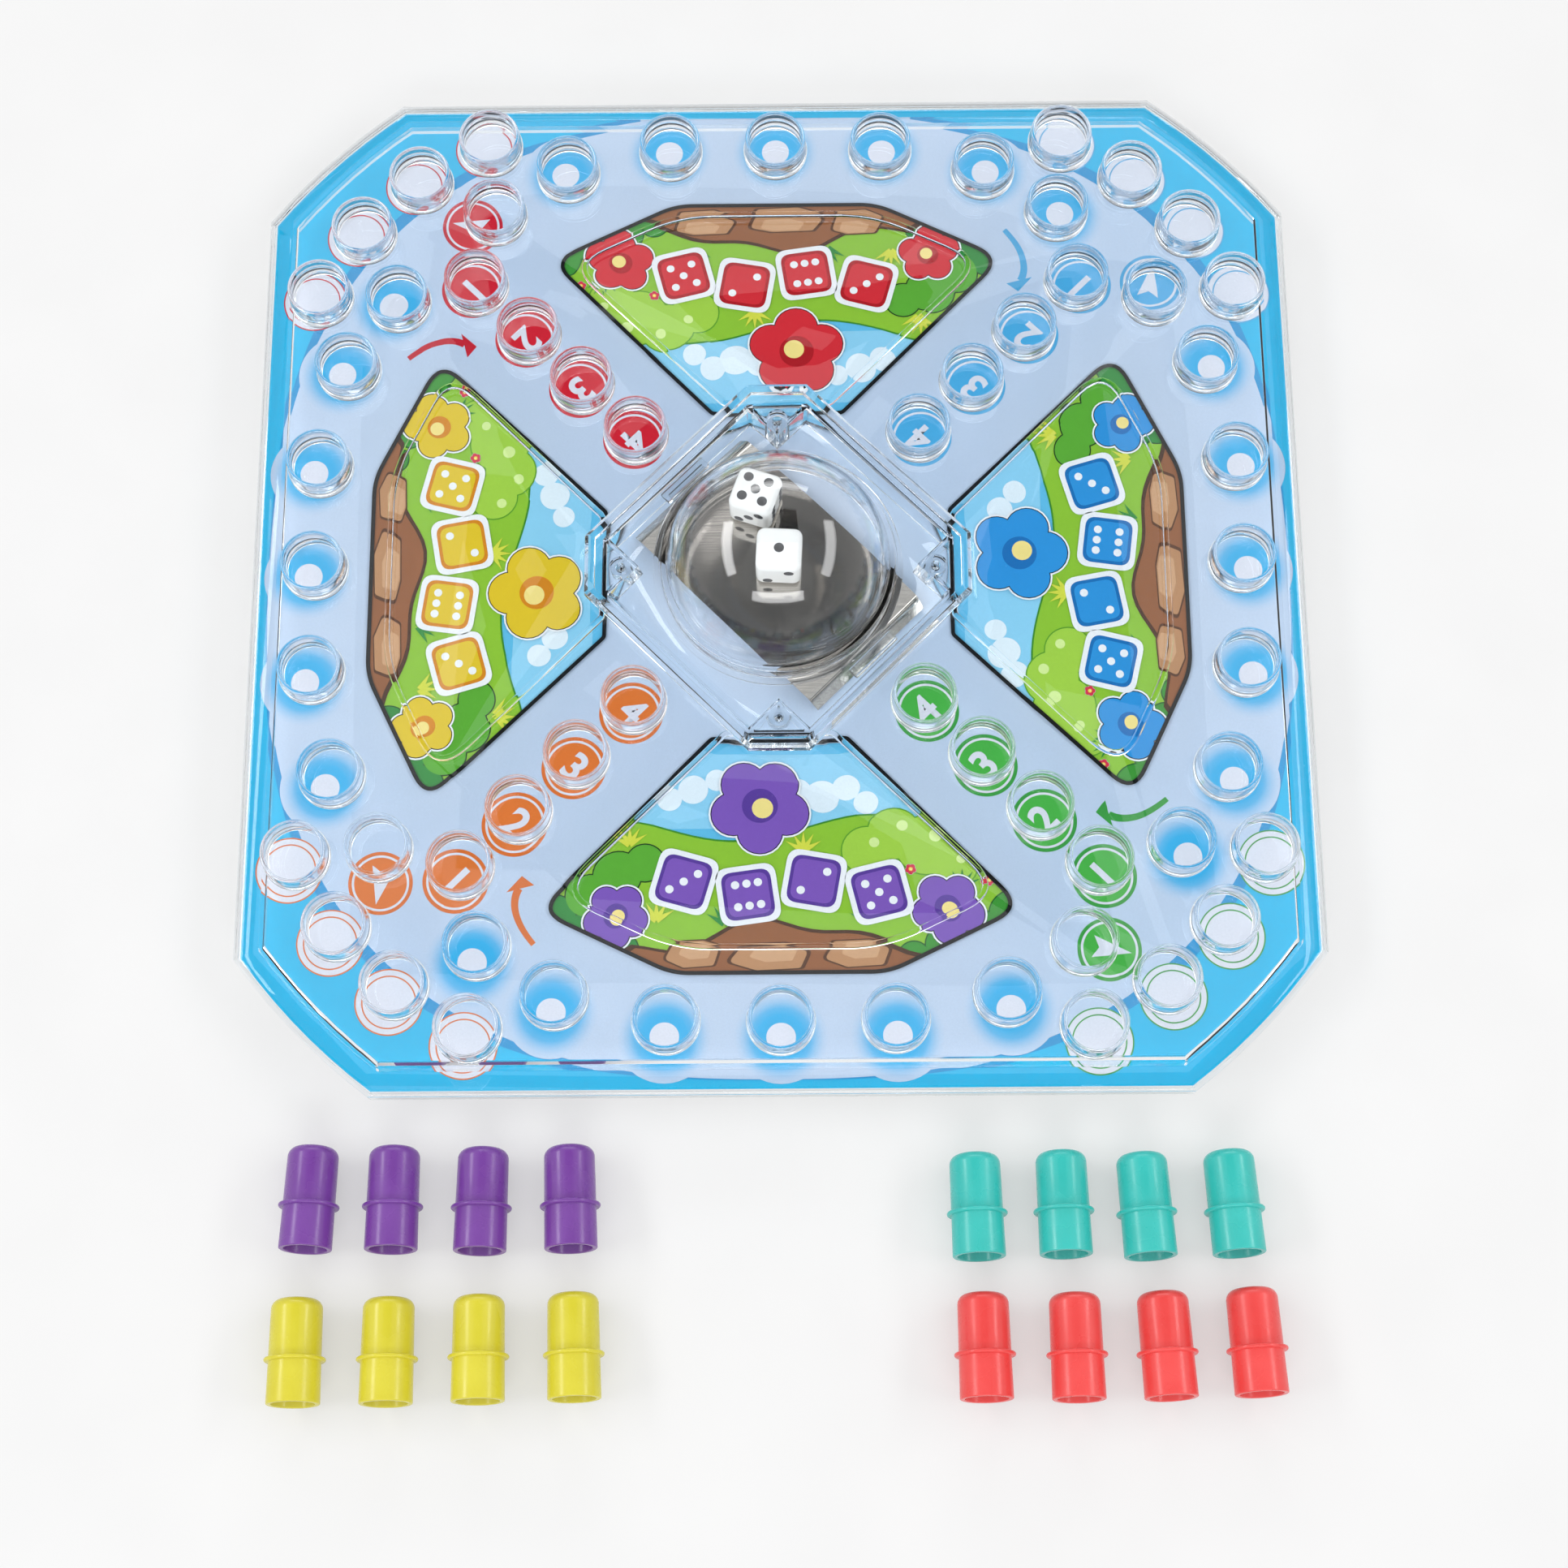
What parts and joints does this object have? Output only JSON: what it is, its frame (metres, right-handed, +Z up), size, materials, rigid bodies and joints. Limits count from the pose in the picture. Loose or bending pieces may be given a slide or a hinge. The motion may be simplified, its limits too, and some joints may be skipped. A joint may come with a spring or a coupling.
{
  "type": "pop up dice board game",
  "caption": "Square board with a clear socketed cover over a printed card, a sprung clear dice dome in the middle, and loose hollow pegs.",
  "frame": {"origin": "middle of the board, on the table that its feet rest on", "axes": "+Z up, +X to the right, +Y away from the pegs that lie in front of the board"},
  "size_m": [0.2708, 0.3442, 0.0474],
  "materials": {
    "tray_plastic": "moulded satin",
    "printed_card": "printed and varnished card",
    "clear_plastic": "clear moulded polystyrene",
    "dome_plastic": "clear moulded polystyrene",
    "spring_steel": "rolled, bright",
    "dice_plastic": "white with dark spots",
    "screw_steel": "zinc plated",
    "peg_purple": "moulded gloss",
    "peg_yellow": "moulded gloss",
    "peg_teal": "moulded gloss",
    "peg_red": "moulded gloss"
  },
  "bodies": {
    "board": {"base_tray": "tray_plastic", "printed_card": "printed_card", "top_cover": "clear_plastic", "well_frame": "clear_plastic", "panel_ridges": "clear_plastic", "track_sockets": "clear_plastic", "start_sockets": "clear_plastic", "home_sockets": "clear_plastic", "spring_strip": "spring_steel", "base_screws": "screw_steel"},
    "dome": {"dome_unit": "dome_plastic"},
    "die_a": {"die_a": "dice_plastic"},
    "die_b": {"die_b": "dice_plastic"},
    "peg_purple_1": {"peg_purple_1": "peg_purple"},
    "peg_purple_2": {"peg_purple_2": "peg_purple"},
    "peg_purple_3": {"peg_purple_3": "peg_purple"},
    "peg_purple_4": {"peg_purple_4": "peg_purple"},
    "peg_yellow_1": {"peg_yellow_1": "peg_yellow"},
    "peg_yellow_2": {"peg_yellow_2": "peg_yellow"},
    "peg_yellow_3": {"peg_yellow_3": "peg_yellow"},
    "peg_yellow_4": {"peg_yellow_4": "peg_yellow"},
    "peg_teal_1": {"peg_teal_1": "peg_teal"},
    "peg_teal_2": {"peg_teal_2": "peg_teal"},
    "peg_teal_3": {"peg_teal_3": "peg_teal"},
    "peg_teal_4": {"peg_teal_4": "peg_teal"},
    "peg_red_1": {"peg_red_1": "peg_red"},
    "peg_red_2": {"peg_red_2": "peg_red"},
    "peg_red_3": {"peg_red_3": "peg_red"},
    "peg_red_4": {"peg_red_4": "peg_red"}
  },
  "joints": [
    {"name": "dome_press", "type": "slide", "parent": "board", "child": "dome", "axis": [0, 0, -1], "range_m": [0, 0.0025], "stiffness_N_per_m": 600, "springref_m": -0.001, "deforming": ["spring_strip"]},
    {"name": "die_a_hop", "type": "slide", "parent": "dome", "child": "die_a", "axis": [0.122, -0.3741, 0.9193], "range_m": [0, 0.0075]},
    {"name": "die_b_hop", "type": "slide", "parent": "dome", "child": "die_b", "axis": [0, 0, 1], "range_m": [0, 0.01]},
    {"name": "peg_purple_1_lift", "type": "slide", "parent": "board", "child": "peg_purple_1", "axis": [0, 0, 1], "range_m": [0, 0.04]},
    {"name": "peg_purple_2_lift", "type": "slide", "parent": "board", "child": "peg_purple_2", "axis": [0, 0, 1], "range_m": [0, 0.04]},
    {"name": "peg_purple_3_lift", "type": "slide", "parent": "board", "child": "peg_purple_3", "axis": [0, 0, 1], "range_m": [0, 0.04]},
    {"name": "peg_purple_4_lift", "type": "slide", "parent": "board", "child": "peg_purple_4", "axis": [0, 0, 1], "range_m": [0, 0.04]},
    {"name": "peg_yellow_1_lift", "type": "slide", "parent": "board", "child": "peg_yellow_1", "axis": [0, 0, 1], "range_m": [0, 0.04]},
    {"name": "peg_yellow_2_lift", "type": "slide", "parent": "board", "child": "peg_yellow_2", "axis": [0, 0, 1], "range_m": [0, 0.04]},
    {"name": "peg_yellow_3_lift", "type": "slide", "parent": "board", "child": "peg_yellow_3", "axis": [0, 0, 1], "range_m": [0, 0.04]},
    {"name": "peg_yellow_4_lift", "type": "slide", "parent": "board", "child": "peg_yellow_4", "axis": [0, 0, 1], "range_m": [0, 0.04]},
    {"name": "peg_teal_1_lift", "type": "slide", "parent": "board", "child": "peg_teal_1", "axis": [0, 0, 1], "range_m": [0, 0.04]},
    {"name": "peg_teal_2_lift", "type": "slide", "parent": "board", "child": "peg_teal_2", "axis": [0, 0, 1], "range_m": [0, 0.04]},
    {"name": "peg_teal_3_lift", "type": "slide", "parent": "board", "child": "peg_teal_3", "axis": [0, 0, 1], "range_m": [0, 0.04]},
    {"name": "peg_teal_4_lift", "type": "slide", "parent": "board", "child": "peg_teal_4", "axis": [0, 0, 1], "range_m": [0, 0.04]},
    {"name": "peg_red_1_lift", "type": "slide", "parent": "board", "child": "peg_red_1", "axis": [0, 0, 1], "range_m": [0, 0.04]},
    {"name": "peg_red_2_lift", "type": "slide", "parent": "board", "child": "peg_red_2", "axis": [0, 0, 1], "range_m": [0, 0.04]},
    {"name": "peg_red_3_lift", "type": "slide", "parent": "board", "child": "peg_red_3", "axis": [0, 0, 1], "range_m": [0, 0.04]},
    {"name": "peg_red_4_lift", "type": "slide", "parent": "board", "child": "peg_red_4", "axis": [0, 0, 1], "range_m": [0, 0.04]}
  ]
}
